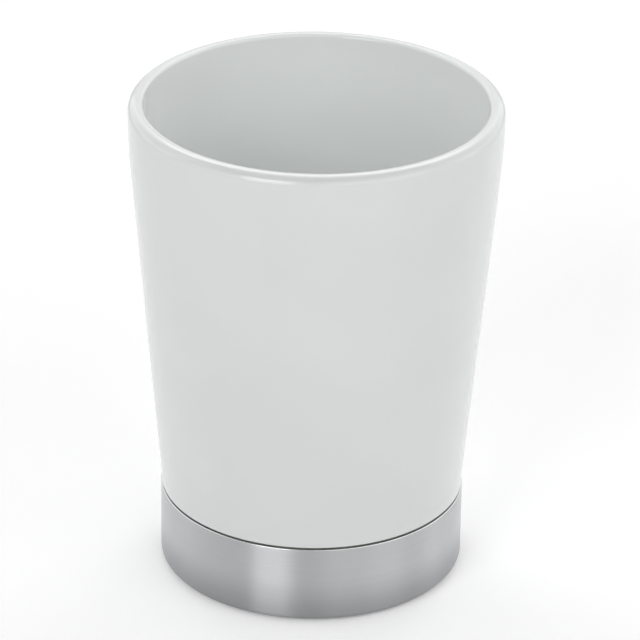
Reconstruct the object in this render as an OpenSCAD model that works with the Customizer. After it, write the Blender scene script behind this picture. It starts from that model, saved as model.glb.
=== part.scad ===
// Bathroom tumbler: a glazed ceramic cup bonded into a drawn, brushed steel base.
// Every piece is turned about Z. The origin is on the table, under the middle of the foot pad.

/* [Overall] */
// Height from the table to the top of the lip
overall_h = 108; // [98:1:124]
// Outer diameter of the steel base
base_d = 66.3; // [63:0.1:70]
// Height from the table to the steel base's top edge
band_top_h = 17.9; // [14:0.1:24]

/* [Ceramic cup] */
// Outer diameter of the cone at the lip's height, before the lip turns in
rim_d = 81.5; // [76:0.1:90]
// Thickness of the cup's wall, measured level
wall_t = 4; // [3.2:0.1:5.4]
// Thickness of the cup's floor
floor_t = 5.6; // [4:0.2:9]
// Radius between the inside wall and the floor
inner_corner_r = 12; // [4:1:18]
// Height of the upright land between the seam and the cone
land_h = 1.6; // [1.2:0.2:4]
// How far the steel stands out past the land
land_setback = 0.15; // [0.1:0.05:0.4]
// Radius where the land turns into the cone
land_blend_r = 16; // [8:1:24]
// Radius of the shoulder's lower edge, over the seam
shoulder_round_r = 0.3; // [0.1:0.05:0.35]

/* [Lip] */
// Height below the lip in which the wall turns in
lip_curve_h = 20; // [12:1:26]
// How far the wall has turned in at the top
lip_turn_in = 0.75; // [0.2:0.05:1.1]
// Radius of the lip's outer edge
lip_outer_r = 2.2; // [0.8:0.1:2.6]
// Radius of the lip's inner edge
lip_inner_r = 0.9; // [0.5:0.1:1.9]

/* [Foot of the cup] */
// Width of the foot ring that the cup stands on
foot_ring_w = 3.4; // [2.6:0.2:3.8]
// Gap between the underside of the cup and the steel recess below it
hollow_gap = 1.6; // [0.6:0.1:3]
// Radius of the foot ring's edges
foot_round_r = 0.9; // [0.4:0.1:1.1]

/* [Steel base] */
// Thickness of the steel sheet
sheet_t = 0.6; // [0.4:0.05:0.8]
// Outer radius of the corner between wall and sole
sole_corner_r = 1.5; // [0.85:0.05:1.6]
// Radius that the trimmed top edge is eased to
top_edge_r = 0.22; // [0.1:0.01:0.28]
// Angle between the sole and the side of the pad's recess
recess_side_angle = 45; // [35:5:60]
// Inside radius of the two bends round the pad's recess
recess_bend_r = 0.3; // [0.1:0.05:0.5]
// Gap between the recess and the foot ring that stands round it
recess_clearance = 0.4; // [0.2:0.1:1.5]
// Height of the gap between the steel's top edge and the cup's shoulder
seam_gap = 0.35; // [0.2:0.05:0.8]

/* [Adhesive] */
// Thickness of the adhesive round the foot
wall_bond_t = 0.35; // [0.2:0.05:0.6]
// Thickness of the adhesive under the foot ring
floor_bond_t = 0.3; // [0.15:0.05:0.6]
// Width of the bead under the foot ring
floor_bond_w = 1.4; // [0.8:0.1:1.6]
// Distance from the steel's top edge down to the adhesive round the foot
bond_setback = 1.1; // [0.6:0.1:2]
// Height left dry between the foot ring's rounded edge and that adhesive
bond_dry_h = 3.5; // [1:0.5:5]

/* [Foot pad] */
// Thickness of the foam pad
pad_t = 1.6; // [1.2:0.1:2]
// How far the pad stands out below the steel
pad_proud = 0.4; // [0.3:0.1:0.8]
// Radius of the pad's lower edge
pad_round_r = 0.35; // [0.1:0.05:0.5]
// Gap between the pad's edge and the recess that it lies in
pad_clearance = 0.5; // [0.3:0.1:1]
// Thickness of the tape that holds the pad
tape_t = 0.1; // [0.08:0.01:0.2]
// How far the tape's edge lies inside the pad's edge
tape_inset = 0.5; // [0.2:0.1:1.5]

/* [Hidden] */
$fn = 120;
edge_fn = 48;
arc_steps = 6;
room_share = 0.98;
arc_lead_share = 2;
arc_cover_share = 1.5;
arc_overrun = 0.0002;
arc_overrun_share = 0.00001;

// Heights at the bottom, from the table up
pad_seat_z = pad_t + tape_t;
recess_top_z = pad_seat_z + sheet_t;
steel_floor_z = pad_proud + sheet_t;
foot_z = steel_floor_z + floor_bond_t;
foot_hollow_z = recess_top_z + hollow_gap;

// Radii at the bottom, from the outside in. Round the recess, the sheet's upper bends lie
// bend_offset further out than its lower ones.
base_r = base_d / 2;
steel_inner_r = base_r - sheet_t;
foot_r = steel_inner_r - wall_bond_t;
foot_hollow_r = foot_r - foot_ring_w;
bend_offset = sheet_t * tan(recess_side_angle / 2);
recess_foot_r = foot_hollow_r - recess_clearance - bend_offset;
recess_r = recess_foot_r - (pad_seat_z - pad_proud) / tan(recess_side_angle);
pad_r = recess_r - pad_clearance;
outer_bend_r = recess_bend_r + sheet_t;

// Adhesive
bond_top_z = band_top_h - bond_setback;
bond_bottom_z = foot_z + foot_round_r + bond_dry_h;
floor_bond_mid_r = foot_r - foot_ring_w / 2;

// Cup above the seam: an upright land, then a cone up to the lip
shoulder_z = band_top_h + seam_gap;
land_r = base_r - land_setback;
land_top_z = shoulder_z + land_h;
rim_r = rim_d / 2;
cone_slope = (rim_r - land_r) / (overall_h - land_top_z);
lip_r = rim_r - lip_turn_in;
lip_bend_z = overall_h - lip_curve_h / 2;
lip_bend_angle = atan(cone_slope) - atan(cone_slope - lip_turn_in / (overall_h - lip_bend_z));
lip_bend_r = lip_curve_h / 4 / tan(lip_bend_angle / 2);

// Inside of the cup
floor_z = foot_hollow_z + floor_t;
mouth_r = cone_r(overall_h) - wall_t;
inner_floor_r = cone_r(floor_z) - wall_t;

// Radius of the outer cone at height z
function cone_r(z) = rim_r - cone_slope * (overall_h - z);

function unit(v) = v / norm(v);

// Number of the corner before corner i, where side is -1, or after it, where side is 1
function beside(corners, i, side) = (i + side + len(corners)) % len(corners);

// The way from corner i to the corner beside it
function edge(corners, i, side) =
    let (other = corners[beside(corners, i, side)])
    [other.x - corners[i].x, other.y - corners[i].y];

// Half of the angle between the two edges that meet at corner i
function half_angle(corners, i) = acos(unit(edge(corners, i, -1)) * unit(edge(corners, i, 1))) / 2;

// How far the rounding of corner i runs along its edges where nothing holds it back
function free_reach(corners, i) = corners[i].z > 0 ? corners[i].z / tan(half_angle(corners, i)) : 0;

// Share of the roundings at an edge's two ends that the edge has room for
function room(corners, i, side) =
    let (wanted = free_reach(corners, i) + free_reach(corners, beside(corners, i, side)))
    min(1, norm(edge(corners, i, side)) * room_share / wanted);

// Arc that rounds corner i, as [centre, start, end, radius, corner, turn]. The radius is held to
// what both neighbouring edges have room for. The turn is above 0 where the outline bulges and
// below 0 where it is hollow.
function arc(corners, i) =
    let (
        corner = [corners[i].x, corners[i].y],
        back = edge(corners, i, -1),
        ahead = edge(corners, i, 1),
        half = half_angle(corners, i),
        r = corners[i].z * min(room(corners, i, -1), room(corners, i, 1)),
        reach = r / tan(half)
    )
    [
        corner + unit(unit(back) + unit(ahead)) * r / sin(half),
        corner + unit(back) * reach,
        corner + unit(ahead) * reach,
        r,
        corner,
        cross(ahead, back)
    ];

// The slice of circle that such an arc bounds. The circle is a trace larger than the arc and the
// slice starts a little before it, so that the circle crosses both straight edges instead of only
// touching them. The lead is a multiple of the distance to where they cross.
module segment(arc) {
    trace = arc[3] * arc_overrun_share + arc_overrun;
    lead = arc_lead_share * sqrt(2 * arc[3] * trace);
    start = arc[1] + unit(arc[1] - arc[4]) * lead;
    end = arc[2] + unit(arc[2] - arc[4]) * lead;
    outwards = (arc[4] - arc[0]) * arc_cover_share;
    sweep = 2 * asin(norm(arc[2] - arc[1]) / 2 / arc[3]);
    intersection() {
        translate(arc[0])
            circle(arc[3] + trace, $fn = max(edge_fn, ceil(arc_steps * 360 / sweep)));
        polygon([start, start + outwards, end + outwards, end]);
    }
}

// Outline through corners given anticlockwise as [radius from Z, height, rounding]. A rounding
// of 0 leaves the corner sharp.
module outline(corners) {
    steps = [0 : len(corners) - 1];
    arcs = [for (i = steps) if (corners[i].z > 0) arc(corners, i)];
    difference() {
        union() {
            polygon([
                for (i = steps)
                    each corners[i].z > 0
                        ? [arc(corners, i)[1], arc(corners, i)[2]]
                        : [[corners[i].x, corners[i].y]]
            ]);
            for (arc = arcs) {
                if (arc[5] > 0) segment(arc);
            }
        }
        for (arc = arcs) {
            if (arc[5] < 0) segment(arc);
        }
    }
}

// Solid of revolution about Z from such an outline
module turned(corners) {
    rotate_extrude() outline(corners);
}

// Flat disc with its lower edge eased
module disc(r, bottom_z, top_z, lower_edge_r = 0) {
    turned([
        [0, bottom_z, 0],
        [r, bottom_z, lower_edge_r],
        [r, top_z, 0],
        [0, top_z, 0],
    ]);
}

// Flat-topped ring between two radii
module ring(inner_r, outer_r, bottom_z, top_z) {
    turned([
        [inner_r, bottom_z, 0],
        [outer_r, bottom_z, 0],
        [outer_r, top_z, 0],
        [inner_r, top_z, 0],
    ]);
}

// Glazed cup: hollow foot, shoulder over the seam, land, cone, lip, inside wall and floor
module ceramic_cup() {
    color([0.93, 0.94, 0.93]) turned([
        [0, foot_hollow_z, 0],
        [foot_hollow_r, foot_hollow_z, foot_round_r],
        [foot_hollow_r, foot_z, foot_round_r],
        [foot_r, foot_z, foot_round_r],
        [foot_r, shoulder_z, 0],
        [land_r, shoulder_z, shoulder_round_r],
        [land_r, land_top_z, land_blend_r],
        [cone_r(lip_bend_z), lip_bend_z, lip_bend_r],
        [lip_r, overall_h, lip_outer_r],
        [mouth_r, overall_h, lip_inner_r],
        [inner_floor_r, floor_z, inner_corner_r],
        [0, floor_z, 0],
    ]);
}

// Drawn steel cup: the underside outwards, up the wall, over the top edge and back inside
module steel_base() {
    color([0.72, 0.73, 0.74]) turned([
        [0, pad_seat_z, 0],
        [recess_r, pad_seat_z, recess_bend_r],
        [recess_foot_r, pad_proud, outer_bend_r],
        [base_r, pad_proud, sole_corner_r],
        [base_r, band_top_h, top_edge_r],
        [steel_inner_r, band_top_h, top_edge_r],
        [steel_inner_r, steel_floor_z, sole_corner_r - sheet_t],
        [recess_foot_r + bend_offset, steel_floor_z, recess_bend_r],
        [recess_r + bend_offset, recess_top_z, outer_bend_r],
        [0, recess_top_z, 0],
    ]);
}

// Adhesive between the cup's foot and the steel wall
module wall_bond() {
    color([0.33, 0.33, 0.32]) ring(foot_r, steel_inner_r, bond_bottom_z, bond_top_z);
}

// Bead of adhesive that the foot ring is bedded on
module floor_bond() {
    color([0.33, 0.33, 0.32])
        ring(
            floor_bond_mid_r - floor_bond_w / 2,
            floor_bond_mid_r + floor_bond_w / 2,
            steel_floor_z,
            foot_z
        );
}

// Closed-cell foam pad that the tumbler stands on
module foot_pad() {
    color([0.16, 0.16, 0.17]) disc(pad_r, 0, pad_t, pad_round_r);
}

// Double-sided tape between the pad and the steel
module pad_tape() {
    color([0.9, 0.9, 0.86]) disc(pad_r - tape_inset, pad_t, pad_seat_z);
}

ceramic_cup();
steel_base();
wall_bond();
floor_bond();
foot_pad();
pad_tape();
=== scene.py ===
"""Bathroom tumbler: a glazed ceramic cup set in a brushed steel base that stands on a foam pad."""

import logging
import math
from dataclasses import dataclass, field
from enum import Enum, IntEnum

import bmesh
import bpy
from mathutils import Matrix, Vector

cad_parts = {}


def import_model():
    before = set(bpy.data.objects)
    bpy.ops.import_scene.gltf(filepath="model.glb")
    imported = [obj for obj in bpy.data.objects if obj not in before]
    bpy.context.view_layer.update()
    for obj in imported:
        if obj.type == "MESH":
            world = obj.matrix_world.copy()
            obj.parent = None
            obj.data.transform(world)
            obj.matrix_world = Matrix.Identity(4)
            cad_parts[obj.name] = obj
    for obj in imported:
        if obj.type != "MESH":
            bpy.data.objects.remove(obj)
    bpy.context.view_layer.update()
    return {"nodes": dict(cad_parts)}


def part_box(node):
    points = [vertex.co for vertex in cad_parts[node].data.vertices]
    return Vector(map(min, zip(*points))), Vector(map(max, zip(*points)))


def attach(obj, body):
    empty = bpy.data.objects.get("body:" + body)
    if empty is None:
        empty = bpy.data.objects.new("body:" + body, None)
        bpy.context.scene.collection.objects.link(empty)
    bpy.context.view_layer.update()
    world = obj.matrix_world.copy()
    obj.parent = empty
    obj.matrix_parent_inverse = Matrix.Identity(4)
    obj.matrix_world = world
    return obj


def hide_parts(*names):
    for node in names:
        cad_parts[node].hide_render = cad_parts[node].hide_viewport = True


LOG = logging.getLogger("tumbler")
MM = 0.001

Colour = tuple[float, float, float]
Span = tuple[float, float]


class Socket(str, Enum):
    """Names of the shader sockets that the finishes set."""

    COLOUR = "Base Color"
    METALLIC = "Metallic"
    ROUGHNESS = "Roughness"
    IOR = "IOR"
    ANISOTROPIC = "Anisotropic"
    ANISOTROPIC_TURN = "Anisotropic Rotation"
    TANGENT = "Tangent"
    NORMAL = "Normal"
    SHEEN = "Sheen Weight"
    SHEEN_ROUGHNESS = "Sheen Roughness"


class MixSocket(IntEnum):
    """Places of a Mix node's sockets where it mixes colours."""

    SHARE = 0
    FIRST = 6
    SECOND = 7
    RESULT = 2


class Region(Enum):
    """Parts of the ceramic cup's surface that are finished differently."""

    GLAZE = 0
    BARE_FOOT = 1


class SteelRegion(Enum):
    """Parts of the steel base's surface that are finished differently."""

    BRUSHED = 0
    EASED_EDGE = 1


@dataclass(frozen=True)
class Pattern:
    """A noise pattern.

    Attributes:
        scale: Its cells in a metre, or 1 where the coordinates count cells already.
        octaves: Number of its finer octaves.
        strength: Strength of those octaves.
        span: The span of its values that counts as 0 to 1.
    """

    scale: float
    octaves: float = 2.0
    strength: float = 0.5
    span: Span = (0.3, 0.7)


@dataclass(frozen=True)
class Marks:
    """Marks of a brush, as cells in a metre along the stroke and across it."""

    along: float
    across: float


class NodeCanvas:
    """A material's node tree, with short calls for the nodes that the finishes use."""

    def __init__(self, name: str) -> None:
        """Starts an empty material.

        Args:
            name: Name of the new material.
        """
        self.material = bpy.data.materials.new(name)
        self.material.use_nodes = True
        self.tree = self.material.node_tree
        self.tree.nodes.clear()
        self.output = self.tree.nodes.new("ShaderNodeOutputMaterial")

    def add(self, kind: str, **settings: object) -> bpy.types.Node:
        """Adds a node.

        Args:
            kind: The node's type, without its ShaderNode prefix.
            **settings: Attributes of the node to set.

        Returns:
            The new node.
        """
        node = self.tree.nodes.new("ShaderNode" + kind)
        for name, value in settings.items():
            setattr(node, name, value)
        return node

    def join(self, source: bpy.types.NodeSocket, target: bpy.types.NodeSocket) -> None:
        """Links one socket to another."""
        self.tree.links.new(source, target)

    def feed(self, value: object, target: bpy.types.NodeSocket) -> None:
        """Sets a socket to a constant, or links it to another socket.

        Args:
            value: A number, a tuple or an output socket.
            target: The input socket.
        """
        if isinstance(value, bpy.types.NodeSocket):
            self.join(value, target)
        else:
            target.default_value = value

    def maths(self, operation: str, *values: object) -> bpy.types.NodeSocket:
        """Adds a Math node.

        Args:
            operation: The node's operation, such as MULTIPLY.
            *values: Its inputs, as numbers or output sockets.

        Returns:
            The node's output.
        """
        node = self.add("Math", operation=operation)
        for value, socket in zip(values, node.inputs):
            self.feed(value, socket)
        return node.outputs[0]

    def ramp(
        self, value: bpy.types.NodeSocket, span: Span, result: Span = (0.0, 1.0)
    ) -> bpy.types.NodeSocket:
        """Maps a span smoothly onto another one.

        Args:
            value: The output socket to map.
            span: The values that become the two ends of the result.
            result: Result at and before the first of them, and at and past the second.

        Returns:
            The mapped value.
        """
        node = self.add("MapRange", interpolation_type="SMOOTHSTEP")
        self.join(value, node.inputs["Value"])
        names = ("From Min", "From Max", "To Min", "To Max")
        for name, number in zip(names, (*span, *result)):
            node.inputs[name].default_value = number
        return node.outputs["Result"]

    def mix(self, share: object, first: object, second: object) -> bpy.types.NodeSocket:
        """Mixes two colours.

        Args:
            share: Share of the second colour.
            first: The first colour, as a tuple or an output socket.
            second: The second colour, as a tuple or an output socket.

        Returns:
            The mixed colour.
        """
        node = self.add("Mix", data_type="RGBA")
        self.feed(share, node.inputs[MixSocket.SHARE])
        self.feed(opaque(first), node.inputs[MixSocket.FIRST])
        self.feed(opaque(second), node.inputs[MixSocket.SECOND])
        return node.outputs[MixSocket.RESULT]

    def place(self) -> bpy.types.NodeSocket:
        """Returns the piece's own coordinates, in metres."""
        return self.add("TexCoord").outputs["Object"]

    def parts(self, where: bpy.types.NodeSocket) -> bpy.types.NodeOutputs:
        """Splits coordinates.

        Args:
            where: The coordinates.

        Returns:
            Their parts, by the names X, Y and Z.
        """
        split = self.add("SeparateXYZ")
        self.join(where, split.inputs[0])
        return split.outputs

    def radius(self, where: bpy.types.NodeSocket) -> bpy.types.NodeSocket:
        """Measures how far coordinates lie from Z.

        Args:
            where: The coordinates.

        Returns:
            Their distance from the axis.
        """
        parts = self.parts(where)
        squares = [self.maths("MULTIPLY", parts[axis], parts[axis]) for axis in ("X", "Y")]
        return self.maths("SQRT", self.maths("ADD", *squares))

    def noise(self, where: bpy.types.NodeSocket, pattern: Pattern) -> bpy.types.NodeSocket:
        """Adds a noise pattern.

        Args:
            where: The coordinates that it reads.
            pattern: Its scale and its detail.

        Returns:
            The pattern's value, from 0 to 1.
        """
        node = self.add("TexNoise")
        self.join(where, node.inputs["Vector"])
        node.inputs["Scale"].default_value = pattern.scale
        node.inputs["Detail"].default_value = pattern.octaves
        node.inputs["Roughness"].default_value = pattern.strength
        return node.outputs["Fac"]

    def spread(
        self, where: bpy.types.NodeSocket, pattern: Pattern, result: Span = (0.0, 1.0)
    ) -> bpy.types.NodeSocket:
        """Adds a noise pattern and maps its own span onto a result.

        Args:
            where: The coordinates that it reads.
            pattern: Its scale, its detail and its span.
            result: What the two ends of its span become.

        Returns:
            The mapped value.
        """
        return self.ramp(self.noise(where, pattern), pattern.span, result)

    def cells(self, where: bpy.types.NodeSocket, scale: float) -> bpy.types.NodeSocket:
        """Adds a cell pattern.

        Args:
            where: The coordinates that it reads.
            scale: Number of its cells in a metre.

        Returns:
            The distance to the nearest cell's middle, as a share of a cell.
        """
        node = self.add("TexVoronoi")
        self.join(where, node.inputs["Vector"])
        node.inputs["Scale"].default_value = scale
        return node.outputs["Distance"]

    def bump(
        self,
        height: bpy.types.NodeSocket,
        depth: float,
        below: bpy.types.NodeSocket | None = None,
    ) -> bpy.types.NodeSocket:
        """Turns a height from 0 to 1 into a relief.

        Args:
            height: The pattern.
            depth: Depth of the relief, in metres.
            below: The normal of a relief that this one lies on.

        Returns:
            The normal.
        """
        node = self.add("Bump")
        node.inputs["Distance"].default_value = depth
        self.join(height, node.inputs["Height"])
        if below is not None:
            self.join(below, node.inputs["Normal"])
        return node.outputs["Normal"]

    def surface(self, **values: object) -> bpy.types.Material:
        """Adds the shader and finishes the material.

        Args:
            **values: Constants or output sockets, by the names in Socket.

        Returns:
            The material.
        """
        shader = self.add("BsdfPrincipled")
        for name, value in values.items():
            self.feed(value, shader.inputs[Socket[name].value])
        self.join(shader.outputs[0], self.output.inputs["Surface"])
        return self.material


def opaque(colour: object) -> object:
    """Gives a colour of three numbers an alpha of 1, and leaves a socket as it is."""
    return (*colour, 1.0) if isinstance(colour, tuple) else colour


@dataclass(frozen=True)
class Glaze:
    """White gloss glaze, thinner and greyer along the outer rounding of the lip, where the greyer
    tone is partly painted shade.

    Attributes:
        colour: Its main colour.
        drift: The colour that it drifts to in clouds.
        thin_and_shaded: Its colour along the lip's outer rounding, where the glaze thins and
            painted shade darkens it further.
        speck: Colour of the specks.
        clouds: Pattern of the clouds.
        polish: Pattern of its roughness.
        ripple: Pattern of the broad ripple.
        peel: Pattern of the fine ripple.
        roughness: Roughness at the two ends of the polish pattern.
        refraction: Its index of refraction.
        speck_scale: Number of cells in a metre, each with a speck in its middle.
        speck_edge: Where a speck starts to fade and where it ends, as shares of a cell.
        speck_share: How strongly a speck shows.
        thin_and_shaded_below: Depths below the lip's top at which that band of thinned glaze and
            painted shade begins and is full.
        thin_and_shaded_inside: Distances inside the lip's outside at which it begins and is full.
        peel_depth: Depth of the fine ripple.
        ripple_depth: Depth of the broad ripple.
    """

    colour: Colour = (0.846, 0.868, 0.862)
    drift: Colour = (0.828, 0.850, 0.845)
    thin_and_shaded: Colour = (0.728, 0.747, 0.742)
    speck: Colour = (0.52, 0.50, 0.46)
    clouds: Pattern = Pattern(scale=38, octaves=3.0, span=(0.35, 0.65))
    polish: Pattern = Pattern(scale=160, octaves=4.0, span=(0.3, 0.75))
    ripple: Pattern = Pattern(scale=45, octaves=1.0)
    peel: Pattern = Pattern(scale=420)
    roughness: Span = (0.10, 0.18)
    refraction: float = 1.52
    speck_scale: float = 90
    speck_edge: Span = (0.012, 0.03)
    speck_share: float = 0.10
    thin_and_shaded_below: Span = (1.5 * MM, 0.6 * MM)
    thin_and_shaded_inside: Span = (1.8 * MM, 0.9 * MM)
    peel_depth: float = 0.014 * MM
    ripple_depth: float = 0.05 * MM

    def material(self, lip_height: float, lip_radius: float) -> bpy.types.Material:
        """Mixes the glaze.

        Args:
            lip_height: Height of the lip's top.
            lip_radius: Radius of its outside, before it is rounded.

        Returns:
            The material.
        """
        canvas = NodeCanvas("white_glaze")
        place = canvas.place()
        # Band along the lip's outer rounding: glaze that thins there, greyed further as painted
        # shade.
        heights = tuple(lip_height - below for below in self.thin_and_shaded_below)
        radii = tuple(lip_radius - inside for inside in self.thin_and_shaded_inside)
        high = canvas.ramp(canvas.parts(place)["Z"], heights)
        outside = canvas.ramp(canvas.radius(place), radii)
        thin_and_shaded = canvas.maths("MULTIPLY", high, outside)
        cells = canvas.cells(place, self.speck_scale)
        speck = canvas.ramp(cells, self.speck_edge, (self.speck_share, 0.0))
        colour = canvas.mix(canvas.spread(place, self.clouds), self.colour, self.drift)
        colour = canvas.mix(thin_and_shaded, colour, self.thin_and_shaded)
        colour = canvas.mix(speck, colour, self.speck)
        ripple = canvas.bump(canvas.noise(place, self.ripple), self.ripple_depth)
        return canvas.surface(
            COLOUR=colour,
            ROUGHNESS=canvas.spread(place, self.polish, self.roughness),
            IOR=self.refraction,
            NORMAL=canvas.bump(canvas.noise(place, self.peel), self.peel_depth, ripple),
        )


@dataclass(frozen=True)
class Biscuit:
    """Bare fired clay of the foot, matte and slightly gritty.

    Attributes:
        colour: Its main colour.
        grit: The colour that it has in patches.
        grain: Pattern of the grain.
        patches: Pattern of the patches.
        roughness: Roughness at the two ends of the grain pattern.
        grain_depth: Depth of the grain.
    """

    colour: Colour = (0.66, 0.63, 0.58)
    grit: Colour = (0.50, 0.47, 0.42)
    grain: Pattern = Pattern(scale=1800, octaves=5.0, strength=0.7, span=(0.2, 0.8))
    patches: Pattern = Pattern(scale=90, octaves=3.0)
    roughness: Span = (0.78, 0.95)
    grain_depth: float = 0.05 * MM

    def material(self) -> bpy.types.Material:
        """Mixes the bare clay.

        Returns:
            The material.
        """
        canvas = NodeCanvas("bare_clay")
        place = canvas.place()
        grain = canvas.noise(place, self.grain)
        return canvas.surface(
            COLOUR=canvas.mix(canvas.spread(place, self.patches), self.colour, self.grit),
            ROUGHNESS=canvas.ramp(grain, self.grain.span, self.roughness),
            NORMAL=canvas.bump(grain, self.grain_depth),
        )


@dataclass(frozen=True)
class BrushedSteel:
    """Steel brushed in fine rings round its axis, with painted shade that darkens it toward the
    sole.

    Attributes:
        name: Name of the material.
        colour: Colour of the bright lines.
        dull: Colour of the dull lines.
        wear_and_shade: Colour at the sole, a painted shade for the darker floor that the steel
            reflects there.
        painted_shade_height: Heights between which that painted shade fades out.
        roughness: Roughness of the dull lines and of the bright ones.
        anisotropy: How far its gloss is stretched.
        turn: Direction of that stretch, where 1 is a full turn.
        line_marks: Size of the fine lines.
        lines: Pattern of the fine lines.
        band_marks: Size of the broader bands.
        bands: Pattern of the broader bands.
        band_roughness: Roughness that the bands take away and add.
        smudges: Pattern of the smudges.
        smudge_roughness: Roughness that the smudges add.
        groove_depth: Depth of the fine lines.
    """

    name: str = "brushed_steel"
    colour: Colour = (0.490, 0.498, 0.506)
    dull: Colour = (0.445, 0.452, 0.461)
    wear_and_shade: Colour = (0.318, 0.323, 0.330)
    painted_shade_height: Span = (1.5 * MM, 11 * MM)
    roughness: Span = (0.318, 0.429)
    anisotropy: float = 1.0
    turn: float = 0.25
    line_marks: Marks = Marks(along=18, across=5200)
    lines: Pattern = Pattern(scale=1.0, octaves=3.0, strength=0.65, span=(0.22, 0.78))
    band_marks: Marks = Marks(along=9, across=700)
    bands: Pattern = Pattern(scale=1.0)
    band_roughness: Span = (-0.01, 0.01)
    smudges: Pattern = Pattern(scale=55, octaves=3.0, strength=0.6, span=(0.45, 0.8))
    smudge_roughness: Span = (0.0, 0.035)
    groove_depth: float = 0.006 * MM

    def material(self) -> bpy.types.Material:
        """Brushes the steel.

        Returns:
            The material.
        """
        canvas = NodeCanvas(self.name)
        place = canvas.place()
        lines = canvas.noise(self.along_rings(canvas, self.line_marks), self.lines)
        rings = self.along_rings(canvas, self.band_marks)
        bands = canvas.spread(rings, self.bands, self.band_roughness)
        smudges = canvas.spread(place, self.smudges, self.smudge_roughness)
        # Painted shade: the colour darkens toward the sole, in place of the darker floor reflected
        # there.
        wear_and_shade = canvas.ramp(canvas.parts(place)["Z"], self.painted_shade_height, (1.0, 0.0))
        colour = canvas.mix(canvas.ramp(lines, self.lines.span), self.dull, self.colour)
        fine = canvas.ramp(lines, self.lines.span, self.roughness)
        tangent = canvas.add("Tangent", direction_type="RADIAL", axis="Z")
        return canvas.surface(
            COLOUR=canvas.mix(wear_and_shade, colour, self.wear_and_shade),
            METALLIC=1.0,
            ROUGHNESS=canvas.maths("ADD", canvas.maths("ADD", fine, bands), smudges),
            ANISOTROPIC=self.anisotropy,
            ANISOTROPIC_TURN=self.turn,
            TANGENT=tangent.outputs[0],
            NORMAL=canvas.bump(lines, self.groove_depth),
        )

    @staticmethod
    def along_rings(canvas: NodeCanvas, marks: Marks) -> bpy.types.NodeSocket:
        """Builds coordinates that are stretched along rings round Z.

        Args:
            canvas: The material's node tree.
            marks: The marks that the coordinates are for.

        Returns:
            The coordinates, in cells.
        """
        place = canvas.place()
        parts = canvas.parts(place)
        across = canvas.maths("ADD", canvas.radius(place), parts["Z"])
        joined = canvas.add("CombineXYZ")
        canvas.join(canvas.maths("MULTIPLY", parts["X"], marks.along), joined.inputs["X"])
        canvas.join(canvas.maths("MULTIPLY", parts["Y"], marks.along), joined.inputs["Y"])
        canvas.join(canvas.maths("MULTIPLY", across, marks.across), joined.inputs["Z"])
        return joined.outputs[0]


@dataclass(frozen=True)
class EasedEdge(BrushedSteel):
    """The same steel where its cut edge is eased and polished."""

    name: str = "eased_edge"
    colour: Colour = (0.48, 0.487, 0.495)
    dull: Colour = (0.435, 0.442, 0.45)
    roughness: Span = (0.19, 0.255)
    anisotropy: float = 0.8


@dataclass(frozen=True)
class Foam:
    """Dark closed-cell foam with a fine skin of cells.

    Attributes:
        colour: Its main colour.
        wear_and_shade: Colour of the scuffs.
        scuffs: Pattern of the scuffs.
        roughness: Roughness beside the scuffs and on them.
        cell_scale: Number of its cells in a metre.
        cell_depth: Depth of the cells.
        sheen: Strength of its sheen.
        sheen_roughness: Roughness of its sheen.
    """

    colour: Colour = (0.030, 0.030, 0.032)
    wear_and_shade: Colour = (0.060, 0.059, 0.057)
    scuffs: Pattern = Pattern(scale=260, octaves=5.0, strength=0.7, span=(0.45, 0.8))
    roughness: Span = (0.94, 0.78)
    cell_scale: float = 1700
    cell_depth: float = 0.10 * MM
    sheen: float = 0.15
    sheen_roughness: float = 0.5

    def material(self) -> bpy.types.Material:
        """Mixes the foam.

        Returns:
            The material.
        """
        canvas = NodeCanvas("pad_foam")
        place = canvas.place()
        scuffs = canvas.noise(place, self.scuffs)
        wear_and_shade = canvas.ramp(scuffs, self.scuffs.span)
        return canvas.surface(
            COLOUR=canvas.mix(wear_and_shade, self.colour, self.wear_and_shade),
            ROUGHNESS=canvas.ramp(scuffs, self.scuffs.span, self.roughness),
            SHEEN=self.sheen,
            SHEEN_ROUGHNESS=self.sheen_roughness,
            NORMAL=canvas.bump(canvas.cells(place, self.cell_scale), self.cell_depth),
        )


@dataclass(frozen=True)
class Mottle:
    """A finish of two colours that one noise pattern mixes, roughens and raises.

    Attributes:
        name: Name of the material.
        colour: The colour at the low end of the pattern.
        second: The colour at its high end.
        pattern: The noise pattern.
        roughness: Roughness at the two ends of the pattern.
        depth: Depth of the relief.
    """

    name: str
    colour: Colour
    second: Colour
    pattern: Pattern
    roughness: Span
    depth: float

    def material(self) -> bpy.types.Material:
        """Mixes the finish.

        Returns:
            The material.
        """
        canvas = NodeCanvas(self.name)
        noise = canvas.noise(canvas.place(), self.pattern)
        share = canvas.ramp(noise, self.pattern.span)
        return canvas.surface(
            COLOUR=canvas.mix(share, self.colour, self.second),
            ROUGHNESS=canvas.ramp(noise, self.pattern.span, self.roughness),
            NORMAL=canvas.bump(noise, self.depth),
        )


@dataclass(frozen=True)
class Adhesive(Mottle):
    """Dark grey construction adhesive with a soft skin."""

    name: str = "adhesive"
    colour: Colour = (0.090, 0.091, 0.092)
    second: Colour = (0.140, 0.141, 0.141)
    pattern: Pattern = Pattern(scale=320, octaves=3.0)
    roughness: Span = (0.38, 0.55)
    depth: float = 0.06 * MM


@dataclass(frozen=True)
class Tape(Mottle):
    """Off-white tissue tape with visible fibres."""

    name: str = "tissue_tape"
    colour: Colour = (0.70, 0.68, 0.60)
    second: Colour = (0.58, 0.55, 0.46)
    pattern: Pattern = Pattern(scale=2400, octaves=6.0, strength=0.75, span=(0.35, 0.68))
    roughness: Span = (0.7, 0.9)
    depth: float = 0.02 * MM


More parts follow.
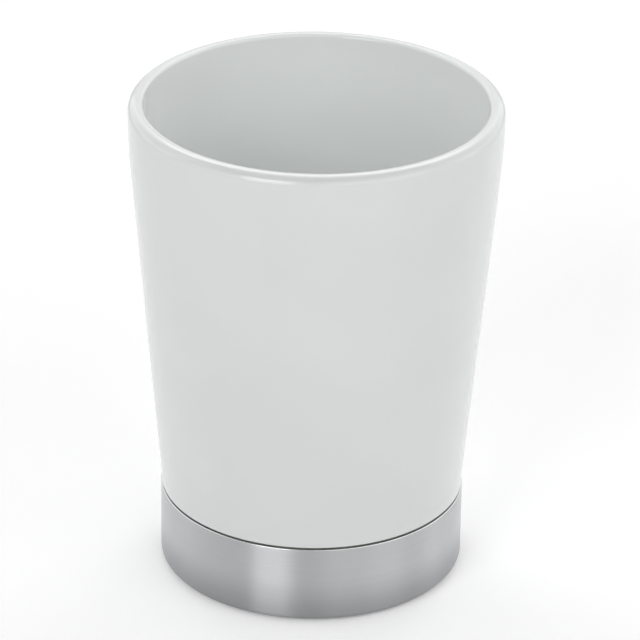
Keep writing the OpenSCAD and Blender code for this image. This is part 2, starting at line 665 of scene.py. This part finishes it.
@dataclass(frozen=True)
class Corner:
    """A corner of a turned outline.

    Attributes:
        radius: Its distance from Z.
        height: Its height.
        rounding: Radius of the arc that rounds it, or 0 to leave it sharp.
        segments: Number of straight pieces of that arc.
    """

    radius: float
    height: float
    rounding: float = 0.0
    segments: int = 8

    @property
    def point(self) -> Vector:
        """The corner in the plane of the outline."""
        return Vector((self.radius, 0.0, self.height))


@dataclass
class Lathe:
    """Turns outlines about Z into closed, smooth meshes.

    Attributes:
        steps: Number of faces round a piece.
        longest: Longest edge of an outline, in metres.
        weld: Points of a mesh that are closer than this become one.
    """

    steps: int = 256
    longest: float = 1.6 * MM
    weld: float = 0.0005 * MM

    def turn(self, name: str, corners: list[Corner]) -> bpy.types.Object:
        """Rounds an outline's corners and spins it about Z.

        Args:
            name: Name of the new piece.
            corners: The outline's corners, anticlockwise. It is closed along Z if its ends lie
                there, and from its last corner to its first if they don't.

        Returns:
            The piece.
        """
        mesh = bmesh.new()
        on_axis = corners[0].radius == 0.0 and corners[-1].radius == 0.0
        verts = [mesh.verts.new(corner.point) for corner in corners]
        pairs = list(zip(verts, verts[1:])) + ([] if on_axis else [(verts[-1], verts[0])])
        for pair in pairs:
            mesh.edges.new(pair)
        self.round_corners(mesh, corners, verts)
        for edge in [edge for edge in mesh.edges if edge.calc_length() > self.longest]:
            cuts = math.ceil(edge.calc_length() / self.longest) - 1
            bmesh.ops.subdivide_edges(mesh, edges=[edge], cuts=cuts)
        bmesh.ops.spin(
            mesh,
            geom=mesh.verts[:] + mesh.edges[:],
            cent=(0, 0, 0),
            axis=(0, 0, 1),
            dvec=(0, 0, 0),
            angle=math.tau,
            steps=self.steps,
            use_merge=True,
        )
        bmesh.ops.remove_doubles(mesh, verts=mesh.verts[:], dist=self.weld)
        bmesh.ops.recalc_face_normals(mesh, faces=mesh.faces[:])
        for face in mesh.faces:
            face.smooth = True
        return self.finished(name, mesh)

    def round_corners(
        self, mesh: bmesh.types.BMesh, corners: list[Corner], verts: list[bmesh.types.BMVert]
    ) -> None:
        """Bevels the outline's corners to arcs.

        Args:
            mesh: The outline, as loose edges.
            corners: Its corners.
            verts: The points of the mesh at those corners.
        """
        reaches = [self.reach(corners, index) for index in range(len(corners))]
        for vert, corner, reach in zip(verts, corners, reaches):
            if reach > 0:
                bmesh.ops.bevel(
                    mesh,
                    geom=[vert],
                    offset=reach,
                    offset_type="OFFSET",
                    segments=corner.segments,
                    profile=0.5,
                    affect="VERTICES",
                    clamp_overlap=False,
                    material=-1,
                )

    @staticmethod
    def reach(corners: list[Corner], index: int) -> float:
        """Works out how far along its edges a corner's rounding runs.

        Args:
            corners: The outline's corners.
            index: Which of them.

        Returns:
            The distance from the corner to where the arc meets either edge, in metres.
        """
        here = corners[index]
        if here.rounding <= 0:
            return 0.0
        back = corners[index - 1].point - here.point
        ahead = corners[(index + 1) % len(corners)].point - here.point
        return here.rounding / math.tan(back.angle(ahead) / 2)

    @staticmethod
    def finished(name: str, mesh: bmesh.types.BMesh) -> bpy.types.Object:
        """Makes an object of a bmesh and links it to the scene.

        Args:
            name: Name of the new object.
            mesh: Its shape, which is freed.

        Returns:
            The object, at the origin.
        """
        data = bpy.data.meshes.new(name)
        mesh.to_mesh(data)
        mesh.free()
        piece = bpy.data.objects.new(name, data)
        bpy.context.scene.collection.objects.link(piece)
        return piece


@dataclass
class Datums:
    """Sizes in metres that the pieces share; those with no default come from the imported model.

    Attributes:
        lip_height: Height of the lip's top.
        base_radius: Outer radius of the steel wall.
        steel_low: Height of the steel's underside.
        steel_high: Height of the steel's top edge.
        foot_height: Height of the underside of the cup's foot ring.
        pad_radius: Radius of the pad.
        pad_top: Height of the pad's top.
        tape_top: Height of the tape's top.
        sheet: Thickness of the steel.
        wall_bond: Thickness of the adhesive round the cup's foot.
        ring_width: Width of the cup's foot ring.
    """

    lip_height: float
    base_radius: float
    steel_low: float
    steel_high: float
    foot_height: float
    pad_radius: float
    pad_top: float
    tape_top: float
    sheet: float = 0.6 * MM
    wall_bond: float = 0.35 * MM
    ring_width: float = 3.4 * MM

    @classmethod
    def from_frame(cls) -> "Datums":
        """Reads the sizes off the CAD nodes' boxes.

        Returns:
            The sizes.
        """
        cup_low, cup_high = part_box("ceramic_cup")
        steel_low, steel_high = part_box("steel_base")
        pad_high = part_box("foot_pad")[1]
        return cls(
            lip_height=cup_high.z,
            base_radius=steel_high.x,
            steel_low=steel_low.z,
            steel_high=steel_high.z,
            foot_height=cup_low.z,
            pad_radius=pad_high.x,
            pad_top=pad_high.z,
            tape_top=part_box("pad_tape")[1].z,
        )

    @property
    def steel_inner(self) -> float:
        """Radius of the steel wall's inside."""
        return self.base_radius - self.sheet

    @property
    def foot_radius(self) -> float:
        """Radius of the cup's foot."""
        return self.steel_inner - self.wall_bond

    @property
    def hollow_radius(self) -> float:
        """Radius of the hollow inside the foot ring."""
        return self.foot_radius - self.ring_width


@dataclass
class CeramicCup:
    """The glazed cup, from its hollow foot to its lip.

    Attributes:
        datums: The sizes that it shares.
        lathe: The lathe that turns it.
        rim_radius: Radius of the cone at the lip's height, before the lip turns in.
        wall: Thickness of the wall.
        floor: Thickness of the floor.
        inner_corner: Rounding between the wall and the floor inside.
        inner_steps: Number of straight pieces of that rounding.
        seam_gap: Height of the open seam over the steel.
        land_setback: How far the steel stands out past the land.
        land_height: Height of the upright land between the seam and the cone.
        land_blend: Rounding between the land and the cone.
        shoulder_round: Rounding of the shoulder over the seam.
        lip_curve_height: Height below the lip in which the wall turns in.
        lip_turn_in: How far the lip turns in from the cone.
        lip_outer: Rounding of the lip's outer edge.
        lip_outer_steps: Number of straight pieces of that rounding.
        lip_inner: Rounding of the lip's inner edge.
        lip_steps: Number of straight pieces of that rounding, and of the turn below it.
        hollow_gap: Height of the hollow over the steel's raised floor.
        foot_round: Rounding of the foot ring's edges and of the hollow's corner.
        glaze: Finish of the cup above the seam and inside.
        biscuit: Finish of the foot.
    """

    datums: Datums
    lathe: Lathe
    rim_radius: float = 40.75 * MM
    wall: float = 4.0 * MM
    floor: float = 5.6 * MM
    inner_corner: float = 12 * MM
    inner_steps: int = 20
    seam_gap: float = 0.35 * MM
    land_setback: float = 0.15 * MM
    land_height: float = 1.6 * MM
    land_blend: float = 16 * MM
    shoulder_round: float = 0.3 * MM
    lip_curve_height: float = 20 * MM
    lip_turn_in: float = 0.75 * MM
    lip_outer: float = 2.2 * MM
    lip_outer_steps: int = 16
    lip_inner: float = 0.9 * MM
    lip_steps: int = 12
    hollow_gap: float = 1.6 * MM
    foot_round: float = 0.9 * MM
    glaze: Glaze = field(default_factory=Glaze)
    biscuit: Biscuit = field(default_factory=Biscuit)

    def cone(self, height: float) -> float:
        """Returns the radius of the outer cone at a height."""
        return self.rim_radius - self.slope * (self.datums.lip_height - height)

    @property
    def lip_radius(self) -> float:
        """Radius of the lip's outside, before it is rounded."""
        return self.rim_radius - self.lip_turn_in

    @property
    def land_radius(self) -> float:
        """Radius of the upright land over the seam."""
        return self.datums.base_radius - self.land_setback

    @property
    def shoulder_height(self) -> float:
        """Height of the shoulder over the seam."""
        return self.datums.steel_high + self.seam_gap

    @property
    def hollow_height(self) -> float:
        """Height of the hollow under the cup's floor."""
        return self.datums.tape_top + self.datums.sheet + self.hollow_gap

    @property
    def slope(self) -> float:
        """How far the cone widens for each metre of height."""
        land_top = self.shoulder_height + self.land_height
        return (self.rim_radius - self.land_radius) / (self.datums.lip_height - land_top)

    def outline(self) -> list[Corner]:
        """Draws the cup's outline.

        Returns:
            Its corners, from the middle of the hollow to the middle of the floor.
        """
        top = self.datums.lip_height
        foot = self.datums.foot_height
        shoulder = self.shoulder_height
        floor = self.hollow_height + self.floor
        bend_height = top - self.lip_curve_height / 2
        leg_height = bend_height - self.lip_curve_height
        bend = Corner(self.cone(bend_height), bend_height)
        edge = Corner(self.lip_radius, top, self.lip_outer, self.lip_outer_steps)
        leg = Corner(self.cone(leg_height), leg_height)
        turn = (leg.point - bend.point).angle(edge.point - bend.point)
        bend_round = self.lip_curve_height / 4 * math.tan(turn / 2)
        return [
            Corner(0.0, self.hollow_height),
            Corner(self.datums.hollow_radius, self.hollow_height, self.foot_round),
            Corner(self.datums.hollow_radius, foot, self.foot_round),
            Corner(self.datums.foot_radius, foot, self.foot_round),
            Corner(self.datums.foot_radius, shoulder),
            Corner(self.land_radius, shoulder, self.shoulder_round),
            Corner(self.land_radius, shoulder + self.land_height, self.land_blend),
            Corner(bend.radius, bend.height, bend_round, self.lip_steps),
            edge,
            Corner(self.rim_radius - self.wall, top, self.lip_inner, self.lip_steps),
            Corner(self.cone(floor) - self.wall, floor, self.inner_corner, self.inner_steps),
            Corner(0.0, floor),
        ]

    def build(self) -> bpy.types.Object:
        """Builds and dresses the cup.

        Returns:
            The cup, riding on the root body.
        """
        cup = self.lathe.turn("cup", self.outline())
        self.dress(cup)
        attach(cup, "root")
        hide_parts("ceramic_cup")
        return cup

    def dress(self, cup: bpy.types.Object) -> None:
        """Glazes the cup all over but for the foot that is bonded into the steel.

        Args:
            cup: The turned piece.
        """
        glazed = self.glaze.material(self.datums.lip_height, self.lip_radius)
        cup.data.materials.append(glazed)
        cup.data.materials.append(self.biscuit.material())
        for face in cup.data.polygons:
            middle = face.center
            bare = self.is_foot(math.hypot(middle.x, middle.y), middle.z)
            face.material_index = (Region.BARE_FOOT if bare else Region.GLAZE).value

    def is_foot(self, radius: float, height: float) -> bool:
        """Tells the bare foot from the glazed inside and outside.

        Args:
            radius: A face's distance from Z.
            height: Its height.

        Returns:
            Whether it lies below the shoulder, and outside the middle of the wall or below the
            middle of the floor.
        """
        outside = radius > self.land_radius - self.wall / 2
        below = height < self.hollow_height + self.floor / 2
        return height < self.shoulder_height and (outside or below)


@dataclass
class SteelBase:
    """The drawn and brushed steel cup that the ceramic foot sits in.

    Attributes:
        datums: The sizes that it shares.
        lathe: The lathe that turns it.
        sole_corner: Outer rounding between the wall and the underside.
        top_edge: Rounding of both edges of the wall's top.
        recess_angle: Slope of the recess's side, from level.
        recess_bend: Inner radius of the sheet's bends at the recess.
        recess_clearance: How far the raised floor's foot lies inside the cup's foot ring.
        edge_band: Height of the polished strip below the rounded top edge.
        brushed: Finish of the base.
        eased: Finish of its top edge.
    """

    datums: Datums
    lathe: Lathe
    sole_corner: float = 1.5 * MM
    top_edge: float = 0.22 * MM
    recess_angle: float = math.radians(45)
    recess_bend: float = 0.3 * MM
    recess_clearance: float = 0.4 * MM
    edge_band: float = 0.12 * MM
    brushed: BrushedSteel = field(default_factory=BrushedSteel)
    eased: EasedEdge = field(default_factory=EasedEdge)

    def outline(self) -> list[Corner]:
        """Draws the outline of the drawn cup, whose floor is pressed up over the pad.

        Returns:
            Its corners, from the middle of the recess to the middle of the floor.
        """
        sheet = self.datums.sheet
        low = self.datums.steel_low
        high = self.datums.steel_high
        outer = self.datums.base_radius
        inner = self.datums.steel_inner
        seat = self.datums.tape_top
        offset = sheet * math.tan(self.recess_angle / 2)
        recess_foot = self.datums.hollow_radius - self.recess_clearance - offset
        recess = recess_foot - (seat - low) / math.tan(self.recess_angle)
        wide_bend = self.recess_bend + sheet
        return [
            Corner(0.0, seat),
            Corner(recess, seat, self.recess_bend),
            Corner(recess_foot, low, wide_bend),
            Corner(outer, low, self.sole_corner),
            Corner(outer, high, self.top_edge),
            Corner(inner, high, self.top_edge),
            Corner(inner, low + sheet, self.sole_corner - sheet),
            Corner(recess_foot + offset, low + sheet, self.recess_bend),
            Corner(recess + offset, seat + sheet, wide_bend),
            Corner(0.0, seat + sheet),
        ]

    def build(self) -> bpy.types.Object:
        """Builds and dresses the base.

        Returns:
            The base, riding on the root body.
        """
        base = self.lathe.turn("base_shell", self.outline())
        self.dress(base)
        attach(base, "root")
        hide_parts("steel_base")
        return base

    def dress(self, base: bpy.types.Object) -> None:
        """Brushes the base and polishes its eased top edge.

        Args:
            base: The turned piece.
        """
        base.data.materials.append(self.brushed.material())
        base.data.materials.append(self.eased.material())
        limit = self.datums.steel_high - self.top_edge - self.edge_band
        for face in base.data.polygons:
            region = SteelRegion.EASED_EDGE if face.center.z > limit else SteelRegion.BRUSHED
            face.material_index = region.value


@dataclass
class FootPad:
    """The die-cut foam pad and the tape that holds it.

    Attributes:
        datums: The sizes that they share.
        lathe: The lathe that turns the pad.
        lower_edge: Rounding of the pad's lower edge.
        foam: Finish of the pad.
        tape: Finish of the tape.
    """

    datums: Datums
    lathe: Lathe
    lower_edge: float = 0.35 * MM
    foam: Foam = field(default_factory=Foam)
    tape: Tape = field(default_factory=Tape)

    def build(self, tape_node: bpy.types.Object) -> bpy.types.Object:
        """Builds the pad and dresses it and its tape.

        Args:
            tape_node: The CAD node of the tape.

        Returns:
            The pad, riding on the root body.
        """
        corners = [
            Corner(0.0, 0.0),
            Corner(self.datums.pad_radius, 0.0, self.lower_edge),
            Corner(self.datums.pad_radius, self.datums.pad_top),
            Corner(0.0, self.datums.pad_top),
        ]
        pad = self.lathe.turn("pad", corners)
        pad.data.materials.append(self.foam.material())
        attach(pad, "root")
        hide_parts("foot_pad")
        repaint(tape_node, self.tape.material())
        return pad


@dataclass
class Bonds:
    """The adhesive round the cup's foot and the bead under it.

    Attributes:
        adhesive: Finish of both.
    """

    adhesive: Adhesive = field(default_factory=Adhesive)

    def dress(self, nodes: list[bpy.types.Object]) -> None:
        """Gives the CAD nodes of the adhesive their finish.

        Args:
            nodes: The nodes.
        """
        material = self.adhesive.material()
        for node in nodes:
            repaint(node, material)


def repaint(node: bpy.types.Object, material: bpy.types.Material) -> None:
    """Gives every material slot of a CAD node the same finish.

    Args:
        node: The CAD node.
        material: Its new finish.
    """
    if not node.material_slots:
        node.data.materials.append(material)
    for slot in node.material_slots:
        slot.material = material


@dataclass(frozen=True)
class SoftLamp:
    """A rectangular lamp that faces the tumbler's middle from a fixed distance.

    Attributes:
        name: Name of the lamp.
        azimuth: Degrees from the front, with 90 at the right.
        elevation: Degrees above the floor.
        width: Its width in metres.
        height: Its height in metres.
        glow: Its brightness, where 1 is white.
        distance: Metres from the tumbler's middle.
        aim_height: Height of the tumbler's middle.
    """

    name: str
    azimuth: float
    elevation: float
    width: float
    height: float
    glow: float
    distance: float = 0.75
    aim_height: float = 50 * MM

    def hang(self) -> bpy.types.Object:
        """Hangs the lamp.

        Returns:
            The lamp, which lights the scene but isn't seen in it.
        """
        data = bpy.data.lights.new(self.name, "AREA")
        data.shape = "RECTANGLE"
        data.size = self.width
        data.size_y = self.height
        data.energy = self.glow * math.pi * self.width * self.height
        aim = Vector((0.0, 0.0, self.aim_height))
        place = aim + self.distance * self.direction()
        lamp = bpy.data.objects.new(self.name, data)
        lamp.location = place
        lamp.rotation_mode = "QUATERNION"
        lamp.rotation_quaternion = (aim - place).to_track_quat("-Z", "Y")
        lamp.visible_camera = False
        bpy.context.scene.collection.objects.link(lamp)
        return lamp

    def direction(self) -> Vector:
        """Works out the way from the tumbler to the lamp.

        Returns:
            A vector of length 1.
        """
        turn = math.radians(self.azimuth)
        rise = math.radians(self.elevation)
        level = math.cos(rise)
        return Vector((math.sin(turn) * level, -math.cos(turn) * level, math.sin(rise)))


@dataclass
class Studio:
    """A white floor, a white surround and soft lamps.

    Attributes:
        floor_size: Length of the floor's sides, in metres.
        floor_drop: How far the floor lies under the pad.
        floor_colour: Colour of the floor.
        lift: Strength of the floor's own glow where it is looked at.
        white: Colour of that glow and of the surround.
        surround: Strength of the surround as a lamp; it is 1 where it is looked at.
        lamps: The soft lamps.
    """

    floor_size: float = 6.0
    floor_drop: float = 0.05 * MM
    floor_colour: Colour = (0.86, 0.86, 0.86)
    lift: float = 0.24
    white: Colour = (1.0, 1.0, 1.0)
    surround: float = 0.06
    lamps: tuple[SoftLamp, ...] = (
        SoftLamp("lamp_key_high", azimuth=-29, elevation=34, width=0.34, height=0.26, glow=4.8),
        SoftLamp("lamp_key_low", azimuth=-29, elevation=16, width=0.34, height=0.18, glow=2.6),
        SoftLamp("lamp_fill_right", azimuth=42, elevation=38, width=0.80, height=0.60, glow=1.1),
        SoftLamp("lamp_left_high", azimuth=-85, elevation=42, width=0.50, height=0.35, glow=0.6),
        SoftLamp("lamp_right", azimuth=75, elevation=20, width=0.90, height=0.60, glow=0.42),
        SoftLamp("lamp_rear_left", azimuth=-125, elevation=28, width=1.00, height=0.80, glow=0.8),
        SoftLamp("lamp_rear_right", azimuth=125, elevation=28, width=1.00, height=0.80, glow=0.85),
        SoftLamp("lamp_rear_high", azimuth=180, elevation=55, width=0.70, height=0.30, glow=2.8),
    )

    def build(self) -> None:
        """Builds the floor, the surround and the lamps."""
        self.lay_floor()
        self.light_surround()
        for lamp in self.lamps:
            lamp.hang()

    def lay_floor(self) -> None:
        """Lays a floor, just clear of the pad, that looks white and keeps the shadow."""
        mesh = bmesh.new()
        level = Matrix.Translation((0.0, 0.0, -self.floor_drop))
        half = self.floor_size / 2
        bmesh.ops.create_grid(mesh, x_segments=1, y_segments=1, size=half, matrix=level)
        floor = Lathe.finished("studio_floor", mesh)
        canvas = NodeCanvas("floor_paper")
        diffuse = canvas.add("BsdfDiffuse")
        diffuse.inputs["Color"].default_value = opaque(self.floor_colour)
        glow = canvas.add("Emission")
        glow.inputs["Color"].default_value = opaque(self.white)
        strength = canvas.maths("MULTIPLY", self.shown(canvas.tree), self.lift)
        canvas.join(strength, glow.inputs["Strength"])
        both = canvas.add("AddShader")
        canvas.join(diffuse.outputs[0], both.inputs[0])
        canvas.join(glow.outputs[0], both.inputs[1])
        canvas.join(both.outputs[0], canvas.output.inputs["Surface"])
        floor.data.materials.append(canvas.material)

    def light_surround(self) -> None:
        """Makes the surround white to look at and in reflections, and dim as a lamp."""
        world = bpy.data.worlds.new("surround")
        world.use_nodes = True
        bpy.context.scene.world = world
        tree = world.node_tree
        background = tree.nodes["Background"]
        background.inputs["Color"].default_value = opaque(self.white)
        strength = tree.nodes.new("ShaderNodeMapRange")
        tree.links.new(self.shown(tree), strength.inputs["Value"])
        strength.inputs["To Min"].default_value = self.surround
        strength.inputs["To Max"].default_value = 1.0
        tree.links.new(strength.outputs["Result"], background.inputs["Strength"])

    @staticmethod
    def shown(tree: bpy.types.NodeTree) -> bpy.types.NodeSocket:
        """Adds nodes that tell rays that show what they hit, directly or in a reflection.

        Args:
            tree: The node tree of a material or of the world.

        Returns:
            1 for those rays, and 0 for rays that only carry light.
        """
        path = tree.nodes.new("ShaderNodeLightPath")
        shown = path.outputs["Is Camera Ray"]
        for ray in ("Is Glossy Ray", "Is Transmission Ray"):
            either = tree.nodes.new("ShaderNodeMath")
            either.operation = "MAXIMUM"
            tree.links.new(shown, either.inputs[0])
            tree.links.new(path.outputs[ray], either.inputs[1])
            shown = either.outputs[0]
        return shown


@dataclass(frozen=True)
class PhotoCamera:
    """The camera at the photograph's place, from a fit of the tumbler's edges.

    Attributes:
        picture: Width of the picture in pixels.
        place: Where the camera stands, in metres.
        aim: The point in the middle of the picture, in metres.
        focal_pixels: Its focal length in pixels of the picture.
        roll: How far it leans, in radians.
        sensor: Width of its sensor in millimetres.
        nearest: Nearest distance that it sees, in metres.
        furthest: Furthest distance that it sees, in metres.
    """

    picture: int = 640
    place: tuple[float, float, float] = (0.0, -819.3 * MM, 461.8 * MM)
    aim: tuple[float, float, float] = (1.33 * MM, 0.0, 56.4 * MM)
    focal_pixels: float = 4224.0
    roll: float = 0.0148
    sensor: float = 36.0
    nearest: float = 0.05
    furthest: float = 20.0

    def build(self) -> bpy.types.Object:
        """Builds the camera and makes it the scene's.

        Returns:
            The camera.
        """
        data = bpy.data.cameras.new("photo_camera")
        data.sensor_fit = "AUTO"
        data.sensor_width = self.sensor
        data.lens = self.focal_pixels * self.sensor / self.picture
        data.clip_start = self.nearest
        data.clip_end = self.furthest
        camera = bpy.data.objects.new("photo_camera", data)
        bpy.context.scene.collection.objects.link(camera)
        bpy.context.scene.camera = camera
        forward = (Vector(self.aim) - Vector(self.place)).normalized()
        right = forward.cross(Vector((0, 0, 1))).normalized()
        up = right.cross(forward)
        leaning = math.cos(self.roll) * right + math.sin(self.roll) * up
        upright = leaning.cross(forward)
        turn = Matrix((leaning, upright, -forward)).transposed().to_4x4()
        camera.matrix_world = Matrix.Translation(Vector(self.place)) @ turn
        return camera


def main() -> None:
    """Builds the tumbler, its studio and its camera."""
    logging.basicConfig(level=logging.INFO, format="%(name)s: %(message)s")
    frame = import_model()
    bpy.context.scene.view_settings.view_transform = "Standard"
    nodes = frame["nodes"]
    datums = Datums.from_frame()
    lathe = Lathe()
    PhotoCamera().build()
    Studio().build()
    pieces = [
        CeramicCup(datums, lathe).build(),
        SteelBase(datums, lathe).build(),
        FootPad(datums, lathe).build(nodes["pad_tape"]),
    ]
    Bonds().dress([nodes["wall_bond"], nodes["floor_bond"]])
    for piece in pieces:
        LOG.info("%s: %d faces", piece.name, len(piece.data.polygons))


if __name__ == "__main__":
    main()
